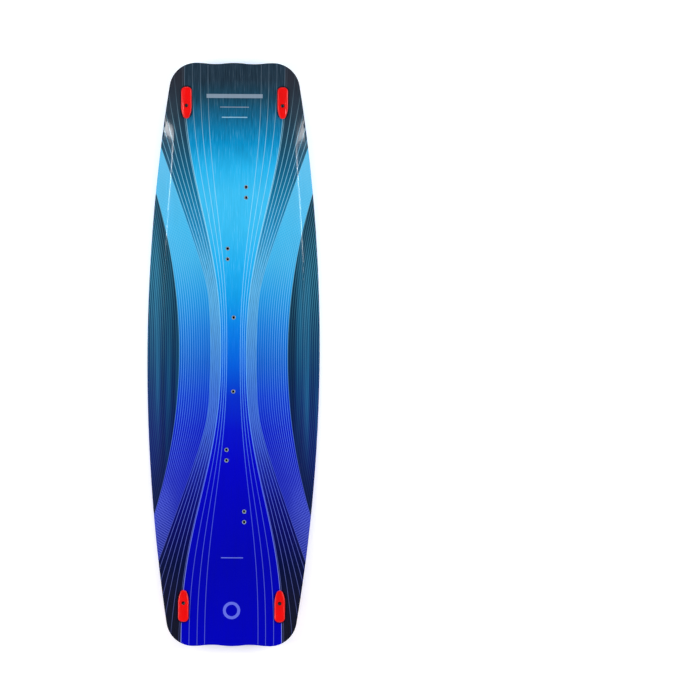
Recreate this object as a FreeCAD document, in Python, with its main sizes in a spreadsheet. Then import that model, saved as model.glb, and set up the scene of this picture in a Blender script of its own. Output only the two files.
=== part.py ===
"""Twin-tip kiteboard on its four fins, millimetres, +Z up, nose at +Y, origin on the floor under its middle.

The board is a sandwich: topsheet, glass laminate, wood core with plastic rails round it, glass laminate
and base sheet. All five follow two curved surfaces, the base and the deck, and share one outline. A fin
stands in a box through the board near each corner, and a cap on the deck holds it with one screw. Ten
threaded inserts take the foot pads and the grab handle.
"""

import FreeCAD, Part
import math
import os
import Sketcher

SIZES = {
    # outline, seen from above
    "board_length": 1380.0,
    "board_width": 410.0,
    "side_arc": 4000.0,
    "corner_arc": 64.0,
    "scallop_arc": 185.0,
    "rail_width": 10.0,
    # base and deck, seen from the side
    "floor_gap": 16.0,
    "base_arc": 5690.0,
    "deck_arc": 6280.0,
    "middle_thickness": 10.5,
    # deck bevel along both rails
    "rail_height": 6.0,
    "bevel_width": 36.0,
    # layers
    "sheet_thickness": 0.5,
    "laminate_thickness": 0.45,
    # room round the board in the solids that cut it
    "overhang": 12.0,
    "cutter_height": 240.0,
    # inserts: a threaded barrel on a wide flange
    "insert_depth": 7.0,
    "insert_width": 10.0,
    "flange_width": 20.0,
    "flange_thickness": 1.5,
    "insert_bore": 5.0,
    "insert_bore_depth": 6.0,
    # where the fins stand, and their blades
    "fin_across": 114.0,
    "fin_along": 600.0,
    "fin_root_length": 126.0,
    "fin_root_thickness": 9.5,
    "fin_tip_length": 32.0,
    "fin_tip_thickness": 3.2,
    # the tang through the board and the box around it
    "tang_length": 56.0,
    "tang_width": 9.5,
    "tang_play": 0.15,
    "box_wall": 3.0,
    # the cap on the deck
    "cap_length": 75.0,
    "cap_width": 25.0,
    "cap_height": 6.0,
    "cap_outer_corner": 10.5,
    "cap_flank_arc": 60.0,
    "cap_inner_arc": 8.0,
    "cap_edge_round": 2.6,
    "cap_offset": -4.0,
    "gasket_thickness": 1.0,
    "gasket_inset": 1.0,
    # the screw, from the middle of the cap towards the board's middle
    "screw_offset": 6.5,
    "screw_width": 4.9,
    "screw_hole": 5.6,
    "screw_head": 8.0,
    "screw_head_height": 3.0,
    "screw_head_play": 0.5,
    "screw_sink": 1.2,
    "screw_reach": 8.0,
    "screw_socket": 4.0,
    "screw_socket_depth": 1.8,
    # the threaded barrel in the tang
    "nut_width": 7.4,
    "nut_length": 9.0,
    "nut_drop": 0.5,
    "nut_bore": 5.0,
}

# name: (across, along to the middle of the pair, distance between the two along the board)
INSERT_PAIRS = {
    "handle_inserts": (0.0, 0.0, 176.0),
    "nose_inner_pad_inserts": (-15.0, 239.0, 25.0),
    "nose_outer_pad_inserts": (28.0, 385.0, 25.0),
    "tail_inner_pad_inserts": (-15.0, -239.0, 25.0),
    "tail_outer_pad_inserts": (28.0, -385.0, 25.0),
}

# name: (side across, end along)
CORNERS = {
    "nose_left": (-1, 1),
    "nose_right": (1, 1),
    "tail_left": (-1, -1),
    "tail_right": (1, -1),
}

# height up the blade as a share of the fin, then length and thickness as shares of the way from tip to root
FIN_STATIONS = [(0.0, 0.0, 0.0), (0.22, 0.52, 0.34), (0.6, 0.88, 0.76), (1.15, 1.0, 1.0)]

# sections of the deck solid, as shares of half the board's length and its overhang
DECK_STATIONS = [-1.0, -2 / 3, -1 / 3, 0.0, 1 / 3, 2 / 3, 1.0]

doc = FreeCAD.newDocument("kiteboard")
sheet = doc.addObject("Spreadsheet::Sheet", "Sizes")
for row, (alias, value) in enumerate(SIZES.items(), start=1):
    sheet.set(f"A{row}", alias)
    sheet.set(f"B{row}", str(value))
    sheet.setAlias(f"B{row}", alias)
doc.recompute()

START, END, CENTRE = 1, 2, 3
H_AXIS, V_AXIS = -1, -2
ROOT = (-1, 1)  # the sketch's own origin
UP = FreeCAD.Vector(0, 0, 1)
ACROSS = FreeCAD.Vector(1, 0, 0)


# ---------------------------------------------------------------- helpers


def cell(alias):
    """The expression that reads one size."""
    return f"Sizes.{alias}"


def base_rise(along):
    """Expression for how far the base has risen at a distance from the middle."""
    return f"(Sizes.base_arc - sqrt(Sizes.base_arc^2 - ({along})^2))"


def deck_height(along):
    """Expression for the deck's height above the floor at a distance from the middle."""
    rise = f"(Sizes.deck_arc - sqrt(Sizes.deck_arc^2 - ({along})^2))"
    return f"(Sizes.floor_gap + Sizes.middle_thickness + {rise})"


def new_body(name):
    body = doc.addObject("PartDesign::Body", name)
    body.Label = name
    return body


def plane_of(body, role):
    return next(f for f in body.Origin.OriginFeatures if f.Role == role)


def new_sketch(body, role, name, offset=None):
    """A sketch on one of the body's own origin planes, moved along its normal by an expression."""
    sketch = body.newObject("Sketcher::SketchObject", name)
    sketch.AttachmentSupport = [(plane_of(body, role), "")]
    sketch.MapMode = "FlatFace"
    if offset:
        sketch.setExpression(".AttachmentOffset.Base.z", offset)
    return sketch


def size(sketch, name, expression, kind, *items):
    """A named dimension in a sketch, bound to the sheet."""
    value = float(sketch.evalExpression(expression))
    index = sketch.addConstraint(Sketcher.Constraint(kind, *items, value))
    sketch.renameConstraint(index, name)
    sketch.setExpression(f"Constraints.{name}", expression)


def rule(sketch, kind, *items):
    sketch.addConstraint(Sketcher.Constraint(kind, *items))


def arc(centre_x, centre_y, radius, start, end):
    """An arc, counter-clockwise, angles in degrees."""
    circle = Part.Circle(FreeCAD.Vector(centre_x, centre_y, 0), UP, radius)
    return Part.ArcOfCircle(circle, math.radians(start), math.radians(end))


def line(from_x, from_y, to_x, to_y):
    return Part.LineSegment(FreeCAD.Vector(from_x, from_y, 0), FreeCAD.Vector(to_x, to_y, 0))


def polygon(sketch, points):
    """Lines through the points and back to the first, joined at their ends. Returns their numbers."""
    lines = []
    for here, there in zip(points, points[1:] + points[:1]):
        lines.append(sketch.addGeometry(line(*here, *there), False))
    for here, there in zip(lines, lines[1:] + lines[:1]):
        rule(sketch, "Coincident", here, END, there, START)
    return lines


def number(expression):
    return float(sheet.evalExpression(expression))


def pad(body, sketch, length, name, symmetric=False):
    feature = body.newObject("PartDesign::Pad", name)
    feature.Profile = sketch
    feature.setExpression("Length", length)
    if symmetric:
        feature.SideType = "Symmetric"
    return feature


def cylinder(name, radius, height, x, y, z):
    """An upright cylinder whose sizes and place are expressions."""
    solid = doc.addObject("Part::Cylinder", name)
    solid.setExpression("Radius", radius)
    solid.setExpression("Height", height)
    solid.setExpression(".Placement.Base.x", x)
    solid.setExpression(".Placement.Base.y", y)
    solid.setExpression(".Placement.Base.z", z)
    return solid


def fuse(name, shapes):
    joined = doc.addObject("Part::MultiFuse", name)
    joined.Shapes = shapes
    return joined


def common(name, *shapes):
    """What all the shapes share."""
    shared = doc.addObject("Part::MultiCommon", name)
    shared.Shapes = list(shapes)
    return shared


def cut(name, base, *tools):
    """The base less each tool in turn."""
    for i, tool in enumerate(tools, start=1):
        result = doc.addObject("Part::Cut", name if i == len(tools) else f"{name}_{i}")
        result.Base = base
        result.Tool = tool
        base = result
    return base


PARTS = []


def finish(feature, label):
    """Names a finished sub-part, which is written to its own file."""
    feature.Label = label
    PARTS.append(feature)


# ---------------------------------------------------------------- the board's outline and surfaces


def outline(name, inset):
    """A tall prism of the outline, moved inwards: a quarter of it, mirrored to both sides and both ends.

    The side is one long arc, the corner a tight one, and the tip a row of shallow arcs: a crest at each
    corner and in the middle, with a scallop between them. All of them meet tangent.
    """
    half_width = f"Sizes.board_width / 2 - {inset}"
    half_length = f"Sizes.board_length / 2 - {inset}"
    side = f"Sizes.side_arc - {inset}"
    corner = f"Sizes.corner_arc - {inset}"
    crest = f"Sizes.scallop_arc - {inset}"
    scallop = f"Sizes.scallop_arc + {inset}"
    wide, long = number(half_width), number(half_length)
    r_side, r_corner, r_crest, r_scallop = (number(e) for e in (side, corner, crest, scallop))

    corner_y = long - r_corner
    corner_x = wide - r_side + math.sqrt((r_side - r_corner) ** 2 - corner_y**2)
    lean = math.degrees(math.asin(corner_y / (r_side - r_corner)))
    swing = math.degrees(math.asin(corner_x / 2 / (r_crest + r_scallop)))
    scallop_y = long - r_crest + (r_crest + r_scallop) * math.cos(math.radians(swing))

    body = new_body(name)
    sketch = new_sketch(body, "XY_Plane", f"{name}_quarter")
    a_side = sketch.addGeometry(arc(wide - r_side, 0, r_side, 0, lean), False)
    a_corner = sketch.addGeometry(arc(corner_x, corner_y, r_corner, lean, 90), False)
    a_crest = sketch.addGeometry(arc(corner_x, long - r_crest, r_crest, 90, 90 + swing), False)
    a_scallop = sketch.addGeometry(arc(corner_x / 2, scallop_y, r_scallop, 270 - swing, 270 + swing), False)
    a_middle = sketch.addGeometry(arc(0, long - r_crest, r_crest, 90 - swing, 90), False)
    l_along = sketch.addGeometry(line(0, long, 0, 0), False)
    l_across = sketch.addGeometry(line(0, 0, wide, 0), False)
    rule(sketch, "Coincident", l_along, END, l_across, START)
    rule(sketch, "Coincident", l_along, END, *ROOT)
    rule(sketch, "PointOnObject", l_across, END, H_AXIS)
    rule(sketch, "PointOnObject", l_along, START, V_AXIS)
    rule(sketch, "Coincident", l_across, END, a_side, START)
    rule(sketch, "Coincident", l_along, START, a_middle, END)
    rule(sketch, "Tangent", a_side, END, a_corner, START)
    rule(sketch, "Tangent", a_corner, END, a_crest, START)
    rule(sketch, "Tangent", a_crest, END, a_scallop, END)
    rule(sketch, "Tangent", a_scallop, START, a_middle, START)
    rule(sketch, "PointOnObject", a_side, CENTRE, H_AXIS)
    rule(sketch, "PointOnObject", a_middle, CENTRE, V_AXIS)
    rule(sketch, "Vertical", a_corner, CENTRE, a_crest, CENTRE)
    size(sketch, "side", side, "Radius", a_side)
    size(sketch, "corner", corner, "Radius", a_corner)
    size(sketch, "crest", crest, "Radius", a_crest)
    size(sketch, "scallop", scallop, "Radius", a_scallop)
    size(sketch, "middle_crest", crest, "Radius", a_middle)
    size(sketch, "half_width", half_width, "DistanceX", *ROOT, l_across, END)
    size(sketch, "half_length", half_length, "DistanceY", *ROOT, l_along, START)
    rule(sketch, "Horizontal", a_corner, END, a_middle, END)

    quarter = pad(body, sketch, cell("cutter_height"), f"{name}_pad", symmetric=True)
    both = body.newObject("PartDesign::MultiTransform", f"{name}_mirrors")
    mirrors = []
    for role in ("YZ_Plane", "XZ_Plane"):
        mirror = body.newObject("PartDesign::Mirrored", f"{name}_{role}")
        mirror.MirrorPlane = (plane_of(body, role), [""])
        mirrors.append(mirror)
    both.Originals = [quarter]
    both.Transformations = mirrors
    body.Tip = both
    return body


def under_deck(name, depth):
    """A solid that fills everything under the deck, less a depth: flat across, with a bevel along each rail.

    It is lofted through sections across the board and stands out past the outline all round.
    """
    body = new_body(name)
    sections = []
    for i, share in enumerate(DECK_STATIONS):
        along = f"({share} * (Sizes.board_length / 2 + Sizes.overhang))"
        side = f"(Sizes.board_width / 2 - Sizes.side_arc + sqrt(Sizes.side_arc^2 - {along}^2))"
        shoulder = f"{deck_height(along)} - {depth}"
        rail = f"Sizes.floor_gap + {base_rise(along)} + Sizes.rail_height - {depth}"
        edge = f"{rail} - ({shoulder} - ({rail})) * Sizes.overhang / Sizes.bevel_width"
        half_edge = f"{side} + Sizes.overhang"
        half_top = f"{side} - Sizes.bevel_width"
        bottom = f"Sizes.overhang + {depth}"

        sketch = new_sketch(body, "XZ_Plane", f"{name}_section_{i}", f"-1 * {along}")
        x_edge, x_top, z_edge = number(half_edge), number(half_top), number(edge)
        z_top, z_low = number(shoulder), -number(bottom)
        points = [(-x_edge, z_low), (x_edge, z_low), (x_edge, z_edge), (x_top, z_top), (-x_top, z_top)]
        low, right, _, top, _, left = polygon(sketch, points + [(-x_edge, z_edge)])
        rule(sketch, "Horizontal", low)
        rule(sketch, "Vertical", right)
        rule(sketch, "Vertical", left)
        rule(sketch, "Symmetric", right, END, left, START, V_AXIS)
        rule(sketch, "Symmetric", top, START, top, END, V_AXIS)
        size(sketch, "bottom", bottom, "DistanceY", low, START, *ROOT)
        size(sketch, "edge", edge, "DistanceY", *ROOT, right, END)
        size(sketch, "top", shoulder, "DistanceY", *ROOT, top, START)
        size(sketch, "half_edge", half_edge, "DistanceX", *ROOT, right, END)
        size(sketch, "half_top", half_top, "DistanceX", *ROOT, top, START)
        sections.append(sketch)
    loft = body.newObject("PartDesign::AdditiveLoft", f"{name}_loft")
    loft.Profile = sections[0]
    loft.Sections = sections[1:]
    return body


def above_base(name, lift):
    """A solid that fills everything above the base, less a lift: a wide drum lying across the board."""
    drum = doc.addObject("Part::Cylinder", name)
    drum.Placement.Rotation = FreeCAD.Rotation(FreeCAD.Vector(0, 1, 0), 90)
    drum.setExpression("Radius", f"Sizes.base_arc - {lift}")
    drum.setExpression("Height", "Sizes.board_width + 2 * Sizes.overhang")
    drum.setExpression(".Placement.Base.x", "-Sizes.board_width / 2 - Sizes.overhang")
    drum.setExpression(".Placement.Base.z", "Sizes.floor_gap + Sizes.base_arc")
    return drum


SHEET = cell("sheet_thickness")
SKIN = "(Sizes.sheet_thickness + Sizes.laminate_thickness)"
edge_prism = outline("outline_prism", "0")
core_prism = outline("core_prism", cell("rail_width"))
under_sheet = [under_deck(f"under_deck_{i}", d) for i, d in enumerate(("0", SHEET, SKIN))]
over_sheet = [above_base(f"above_base_{i}", d) for i, d in enumerate(("0", SHEET, SKIN))]
deck_solid, base_solid = under_sheet[0], over_sheet[0]


# ---------------------------------------------------------------- threaded inserts


def insert_sites(pair):
    across, along, apart = INSERT_PAIRS[pair]
    return [(across, along - apart / 2), (across, along + apart / 2)]


def insert_pair(pair):
    """Two inserts, flush with the deck, and the solid that makes room for them."""
    bodies, bores = [], []
    for i, (x, y) in enumerate(insert_sites(pair)):
        foot = f"{deck_height(y)} - Sizes.insert_depth"
        place = (str(x), str(y), foot)
        # the barrel runs past the deck, which trims it
        tall = "Sizes.insert_depth + Sizes.overhang"
        bodies.append(cylinder(f"{pair}_barrel_{i}", "Sizes.insert_width / 2", tall, *place))
        flange = cylinder(f"{pair}_flange_{i}", "Sizes.flange_width / 2", cell("flange_thickness"), *place)
        bodies.append(flange)
        bore_foot = f"{deck_height(y)} - Sizes.insert_bore_depth"
        place = (str(x), str(y), bore_foot)
        bores.append(cylinder(f"{pair}_bore_{i}", "Sizes.insert_bore / 2", tall, *place))
    whole = fuse(f"{pair}_whole", bodies)
    bored = cut(f"{pair}_bored", whole, fuse(f"{pair}_bores", bores))
    finish(common(f"{pair}_part", bored, deck_solid), pair)
    return whole


insert_room = fuse("insert_room", [insert_pair(pair) for pair in INSERT_PAIRS])


# ---------------------------------------------------------------- fins, boxes, caps, screws


def round_ended(sketch, length, width, prefix, middle=(0.0, 0.0)):
    """A slot shape along the sketch's second axis: two lines and two half circles."""
    half = number(f"{width} / 2")
    reach = number(f"({length} - {width}) / 2")
    x, y = middle
    top = sketch.addGeometry(arc(x, y + reach, half, 0, 180), False)
    bottom = sketch.addGeometry(arc(x, y - reach, half, 180, 360), False)
    ends = [FreeCAD.Vector(x + half * s, y + reach * t, 0) for s, t in ((1, -1), (1, 1), (-1, 1), (-1, -1))]
    right = sketch.addGeometry(Part.LineSegment(ends[0], ends[1]), False)
    left = sketch.addGeometry(Part.LineSegment(ends[2], ends[3]), False)
    rule(sketch, "Tangent", right, END, top, START)
    rule(sketch, "Tangent", top, END, left, START)
    rule(sketch, "Tangent", left, END, bottom, START)
    rule(sketch, "Tangent", bottom, END, right, START)
    rule(sketch, "Symmetric", top, CENTRE, bottom, CENTRE, *ROOT)
    rule(sketch, "PointOnObject", top, CENTRE, V_AXIS)
    rule(sketch, "Equal", top, bottom)
    size(sketch, f"{prefix}_radius", f"{width} / 2", "Radius", top)
    size(sketch, f"{prefix}_reach", f"{length} - {width}", "DistanceY", bottom, CENTRE, top, CENTRE)


def ring(sketch, width, prefix, drop="0"):
    """A circle on the sketch's second axis, a distance below its origin."""
    low = number(drop)
    circle = Part.Circle(FreeCAD.Vector(0, -low, 0), UP, number(f"{width} / 2"))
    index = sketch.addGeometry(circle, False)
    size(sketch, f"{prefix}_radius", f"{width} / 2", "Radius", index)
    if drop == "0":
        rule(sketch, "Coincident", index, CENTRE, *ROOT)
        return
    rule(sketch, "PointOnObject", index, CENTRE, V_AXIS)
    size(sketch, f"{prefix}_drop", drop, "DistanceY", index, CENTRE, *ROOT)


def upright(corner):
    """Where a fin and its box stand: upright, on the floor, under the middle of the fin."""
    side, end = CORNERS[corner]
    place = FreeCAD.Vector(side * SIZES["fin_across"], end * SIZES["fin_along"], 0)
    turn = FreeCAD.Rotation(UP, 0 if end > 0 else 180)
    return FreeCAD.Placement(place, turn)


def on_deck(corner):
    """Where a cap sits: on the deck at the middle of the cap, tilted with it, second axis towards the tip."""
    side, end = CORNERS[corner]
    along = SIZES["fin_along"] + SIZES["cap_offset"]
    tilt = math.degrees(math.asin(along / SIZES["deck_arc"]))
    place = FreeCAD.Vector(side * SIZES["fin_across"], end * along, number(deck_height(along)))
    turn = FreeCAD.Rotation(UP, 0 if end > 0 else 180).multiply(FreeCAD.Rotation(ACROSS, tilt))
    return FreeCAD.Placement(place, turn)


def upright_slot(name, length, width, corner):
    """A tall prism with round ends, where a tang or a box goes through the board."""
    body = new_body(name)
    sketch = new_sketch(body, "XY_Plane", f"{name}_sketch")
    round_ended(sketch, length, width, "slot")
    pad(body, sketch, cell("cutter_height"), f"{name}_pad", symmetric=True)
    body.Placement = upright(corner)
    return body


def fin_nut(corner):
    """A barrel with a threaded bore, pressed into the tang. Returns the room it needs."""
    foot = "-Sizes.nut_drop - Sizes.nut_length"
    length = {"fin_nut": cell("nut_length"), "nut_room": "Sizes.nut_length + 2 * Sizes.nut_drop"}
    bodies = {}
    for kind, height in length.items():
        name = f"{corner}_{kind}"
        body = new_body(name)
        sketch = new_sketch(body, "XY_Plane", f"{name}_sketch", foot)
        ring(sketch, cell("nut_width"), "barrel", cell("screw_offset"))
        if kind == "fin_nut":
            ring(sketch, cell("nut_bore"), "bore", cell("screw_offset"))
        pad(body, sketch, height, f"{name}_pad")
        body.Placement = on_deck(corner)
        bodies[kind] = body
    finish(bodies["fin_nut"], f"{corner}_fin_nut")
    return bodies["nut_room"]


def fin(corner, nut_room):
    """A blade lofted up through lens-shaped sections, with its tip on the floor and a tang in the board."""
    name = f"{corner}_blade"
    body = new_body(name)
    fin_height = f"(Sizes.floor_gap + {base_rise('Sizes.fin_along')})"
    more_length = "(Sizes.fin_root_length - Sizes.fin_tip_length)"
    more_thickness = "(Sizes.fin_root_thickness - Sizes.fin_tip_thickness)"
    sections = []
    for i, (up, longer, thicker) in enumerate(FIN_STATIONS):
        length = f"(Sizes.fin_tip_length + {longer} * {more_length})"
        thick = f"(Sizes.fin_tip_thickness + {thicker} * {more_thickness})"
        bend = f"(({length}^2 + {thick}^2) / (4 * {thick}))"
        sketch = new_sketch(body, "XY_Plane", f"{name}_section_{i}", f"{up} * {fin_height}")
        radius, half = number(bend), number(f"{length} / 2")
        centre = radius - number(f"{thick} / 2")
        swing = math.degrees(math.asin(half / radius))
        right = sketch.addGeometry(arc(-centre, 0, radius, -swing, swing), False)
        left = sketch.addGeometry(arc(centre, 0, radius, 180 - swing, 180 + swing), False)
        rule(sketch, "Coincident", right, END, left, START)
        rule(sketch, "Coincident", left, END, right, START)
        rule(sketch, "PointOnObject", right, CENTRE, H_AXIS)
        rule(sketch, "PointOnObject", left, CENTRE, H_AXIS)
        rule(sketch, "PointOnObject", right, END, V_AXIS)
        size(sketch, "right_bend", bend, "Radius", right)
        size(sketch, "left_bend", bend, "Radius", left)
        size(sketch, "length", length, "DistanceY", right, START, right, END)
        sections.append(sketch)
    loft = body.newObject("PartDesign::AdditiveLoft", f"{name}_loft")
    loft.Profile = sections[0]
    loft.Sections = sections[1:]
    body.Placement = upright(corner)
    blade = cut(f"{corner}_fin_blade", body, base_solid)
    prism = upright_slot(f"{corner}_tang_prism", cell("tang_length"), cell("tang_width"), corner)
    tang = common(f"{corner}_tang", prism, deck_solid, base_solid)
    whole = fuse(f"{corner}_fin_whole", [blade, tang])
    finish(cut(f"{corner}_fin_part", whole, nut_room), f"{corner}_fin")


def fin_box(corner):
    """The frame bonded into the board round the tang. Returns the slot it needs."""
    inner_length = "(Sizes.tang_length + 2 * Sizes.tang_play)"
    inner_width = "(Sizes.tang_width + 2 * Sizes.tang_play)"
    outer_length = f"({inner_length} + 2 * Sizes.box_wall)"
    outer_width = f"({inner_width} + 2 * Sizes.box_wall)"
    outer = upright_slot(f"{corner}_box_outer", outer_length, outer_width, corner)
    inner = upright_slot(f"{corner}_box_inner", inner_length, inner_width, corner)
    filled = common(f"{corner}_box_filled", outer, deck_solid, base_solid)
    finish(cut(f"{corner}_box_part", filled, inner), f"{corner}_fin_box")
    return outer


def cap_outline(sketch, inset):
    """The cap from above: round corners and a short flat at the tip, and flanks that curve in to a narrow end
    towards the board's middle."""
    half = number(f"Sizes.cap_width / 2 - {inset}")
    reach = number(f"Sizes.cap_length / 2 - {inset}")
    corner = number(f"Sizes.cap_outer_corner - {inset}")
    flank = number(f"Sizes.cap_flank_arc - {inset}")
    narrow = number(f"Sizes.cap_inner_arc - {inset}")
    x, y, low = half - corner, reach - corner, narrow - reach
    apart = flank - narrow
    start = low + math.sqrt(apart**2 - (flank - half) ** 2)
    lean = math.degrees(math.asin((start - low) / apart))
    shapes = [
        arc(0, low, narrow, 180 + lean, 360 - lean),
        arc(half - flank, start, flank, -lean, 0),
        line(half, start, half, y),
        arc(x, y, corner, 0, 90),
        line(x, reach, -x, reach),
        arc(-x, y, corner, 90, 180),
        line(-half, y, -half, start),
        arc(flank - half, start, flank, 180, 180 + lean),
    ]
    loop = [sketch.addGeometry(shape, False) for shape in shapes]
    bottom, right_flank, right, turn_right, top, turn_left, left, left_flank = loop
    for here, there in zip(loop, loop[1:] + loop[:1]):
        rule(sketch, "Tangent", here, END, there, START)
    rule(sketch, "PointOnObject", bottom, CENTRE, V_AXIS)
    rule(sketch, "Horizontal", top)
    rule(sketch, "Vertical", right)
    rule(sketch, "Vertical", left)
    rule(sketch, "Equal", turn_left, turn_right)
    rule(sketch, "Equal", left_flank, right_flank)
    size(sketch, "right_half", f"Sizes.cap_width / 2 - {inset}", "DistanceX", *ROOT, right, START)
    size(sketch, "left_half", f"Sizes.cap_width / 2 - {inset}", "DistanceX", left, END, *ROOT)
    size(sketch, "outer_corner", f"Sizes.cap_outer_corner - {inset}", "Radius", turn_right)
    size(sketch, "flank", f"Sizes.cap_flank_arc - {inset}", "Radius", right_flank)
    size(sketch, "inner_arc", f"Sizes.cap_inner_arc - {inset}", "Radius", bottom)
    size(sketch, "outer_end", f"Sizes.cap_length / 2 - {inset}", "DistanceY", *ROOT, top, START)
    inner_end = "Sizes.cap_length / 2 - Sizes.cap_inner_arc"
    size(sketch, "inner_end", inner_end, "DistanceY", bottom, CENTRE, *ROOT)


def fin_cap(corner):
    """The red cap: a rounded pad on the gasket with a stepped hole for the screw."""
    name = f"{corner}_fin_cap"
    body = new_body(name)
    sketch = new_sketch(body, "XY_Plane", f"{name}_sketch", cell("gasket_thickness"))
    cap_outline(sketch, "0")
    block = pad(body, sketch, cell("cap_height"), f"{name}_pad")
    doc.recompute()
    top = SIZES["gasket_thickness"] + SIZES["cap_height"]
    rim = []
    for i, e in enumerate(block.Shape.Edges, start=1):
        if e.BoundBox.ZMin > top - 0.01:
            rim.append(f"Edge{i}")
    rounded = body.newObject("PartDesign::Fillet", f"{name}_round")
    rounded.Base = (block, rim)
    rounded.setExpression("Radius", cell("cap_edge_round"))
    marks = new_sketch(body, "XY_Plane", f"{name}_hole_sketch", "Sizes.gasket_thickness + Sizes.cap_height")
    ring(marks, cell("screw_hole"), "hole", cell("screw_offset"))
    doc.recompute()
    hole = body.newObject("PartDesign::Hole", f"{name}_hole")
    hole.Profile = marks
    hole.DepthType = "ThroughAll"
    hole.setExpression("Diameter", cell("screw_hole"))
    hole.HoleCutType = "Counterbore"
    hole.HoleCutCustomValues = True
    hole.setExpression("HoleCutDiameter", "Sizes.screw_head + 2 * Sizes.screw_head_play")
    hole.setExpression("HoleCutDepth", "Sizes.screw_sink + Sizes.screw_head_height")
    body.Placement = on_deck(corner)
    finish(body, name)


def fin_gasket(corner):
    """The soft seal under the cap, trimmed by the deck that it lies on."""
    name = f"{corner}_gasket_pad"
    body = new_body(name)
    sketch = new_sketch(body, "XY_Plane", f"{name}_sketch", "-1 * Sizes.gasket_thickness")
    cap_outline(sketch, cell("gasket_inset"))
    ring(sketch, cell("screw_hole"), "hole", cell("screw_offset"))
    pad(body, sketch, "2 * Sizes.gasket_thickness", f"{name}_pad")
    body.Placement = on_deck(corner)
    finish(cut(f"{corner}_gasket_part", body, deck_solid), f"{corner}_fin_gasket")


def fin_screw(corner):
    """A screw with a low round head and a hexagon socket, through the cap into the nut."""
    name = f"{corner}_fin_screw"
    body = new_body(name)
    # a plane through the screw's axis, across the board
    sketch = new_sketch(body, "XZ_Plane", f"{name}_profile", cell("screw_offset"))
    head = "Sizes.gasket_thickness + Sizes.cap_height - Sizes.screw_sink"
    z_head, z_end = number(head), -number("Sizes.screw_reach")
    wide, thin = number("Sizes.screw_head / 2"), number("Sizes.screw_width / 2")
    z_neck = z_head - number(cell("screw_head_height"))
    points = [(0, z_end), (thin, z_end), (thin, z_neck), (wide, z_neck), (wide, z_head), (0, z_head)]
    end, shank, seat, rim, top, axis = polygon(sketch, points)
    for level in (end, seat, top):
        rule(sketch, "Horizontal", level)
    for post in (shank, rim, axis):
        rule(sketch, "Vertical", post)
    rule(sketch, "PointOnObject", axis, START, V_AXIS)
    size(sketch, "head_level", head, "DistanceY", *ROOT, axis, START)
    size(sketch, "reach", cell("screw_reach"), "DistanceY", axis, END, *ROOT)
    size(sketch, "head_thickness", cell("screw_head_height"), "DistanceY", rim, START, rim, END)
    size(sketch, "head_half", "Sizes.screw_head / 2", "DistanceX", axis, START, rim, END)
    size(sketch, "shank_half", "Sizes.screw_width / 2", "DistanceX", axis, END, shank, START)
    turned = body.newObject("PartDesign::Revolution", f"{name}_turned")
    turned.Profile = sketch
    turned.ReferenceAxis = (sketch, ["V_Axis"])
    turned.Angle = 360
    doc.recompute()
    key = new_sketch(body, "XY_Plane", f"{name}_key", head)
    # the socket is measured across its flats, and its corners lie on a circle
    corner_circle = "Sizes.screw_socket / (2 * cos(30))"
    reach = number(corner_circle)
    drop = number(cell("screw_offset"))
    angles = [math.radians(60 * i) for i in range(6)]
    corners = [(reach * math.cos(a), reach * math.sin(a) - drop) for a in angles]
    sides = polygon(key, corners)
    circle = key.addGeometry(Part.Circle(FreeCAD.Vector(0, -drop, 0), UP, reach), True)
    for side in sides:
        rule(key, "PointOnObject", side, START, circle)
    for side in sides[1:]:
        rule(key, "Equal", sides[0], side)
    rule(key, "PointOnObject", circle, CENTRE, V_AXIS)
    rule(key, "Horizontal", sides[1])
    size(key, "key_radius", corner_circle, "Radius", circle)
    size(key, "key_drop", cell("screw_offset"), "DistanceY", circle, CENTRE, *ROOT)
    socket = body.newObject("PartDesign::Pocket", f"{name}_socket")
    socket.Profile = key
    socket.setExpression("Length", cell("screw_socket_depth"))
    body.Placement = on_deck(corner)
    finish(body, name)


box_slots = []
for corner in CORNERS:
    fin(corner, fin_nut(corner))
    box_slots.append(fin_box(corner))
    fin_gasket(corner)
    fin_cap(corner)
    fin_screw(corner)
slot_room = fuse("slot_room", box_slots)


# ---------------------------------------------------------------- the sandwich


def deck_layer(label, over, under):
    """A layer between two levels under the deck, with holes for the inserts and the fin boxes."""
    solid = common(f"{label}_solid", edge_prism, over)
    finish(cut(f"{label}_part", solid, under, insert_room, slot_room), label)


def base_layer(label, under, over):
    """A layer between two levels above the base, with slots for the fin boxes."""
    solid = common(f"{label}_solid", edge_prism, under)
    finish(cut(f"{label}_part", solid, over, slot_room), label)


def rails(filling):
    """The plastic edge round the core, in four strips that meet at the ends of the sides."""
    band = cut("rail_band", common("rail_filling", edge_prism, *filling), core_prism)
    split = "(Sizes.board_length / 2 - Sizes.corner_arc)"
    reach = "(Sizes.board_width + Sizes.board_length)"
    boxes = {
        "left_rail": (f"-{reach}", f"-{split}", reach, f"2 * {split}"),
        "right_rail": ("0", f"-{split}", reach, f"2 * {split}"),
        "nose_rail": (f"-{reach}", split, f"2 * {reach}", reach),
        "tail_rail": (f"-{reach}", f"-{split} - {reach}", f"2 * {reach}", reach),
    }
    for label, (x, y, width, length) in boxes.items():
        block = doc.addObject("Part::Box", f"{label}_block")
        block.setExpression(".Placement.Base.x", x)
        block.setExpression(".Placement.Base.y", y)
        block.setExpression(".Placement.Base.z", "-Sizes.cutter_height / 2")
        block.setExpression("Length", width)
        block.setExpression("Width", length)
        block.setExpression("Height", cell("cutter_height"))
        finish(common(f"{label}_part", band, block), label)


deck_layer("topsheet", under_sheet[0], under_sheet[1])
deck_layer("top_laminate", under_sheet[1], under_sheet[2])
core = common("core_solid", core_prism, under_sheet[2], over_sheet[2])
finish(cut("core_part", core, insert_room, slot_room), "wood_core")
rails((under_sheet[2], over_sheet[2]))
base_layer("bottom_laminate", over_sheet[1], over_sheet[2])
base_layer("base_sheet", over_sheet[0], over_sheet[1])


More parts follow.
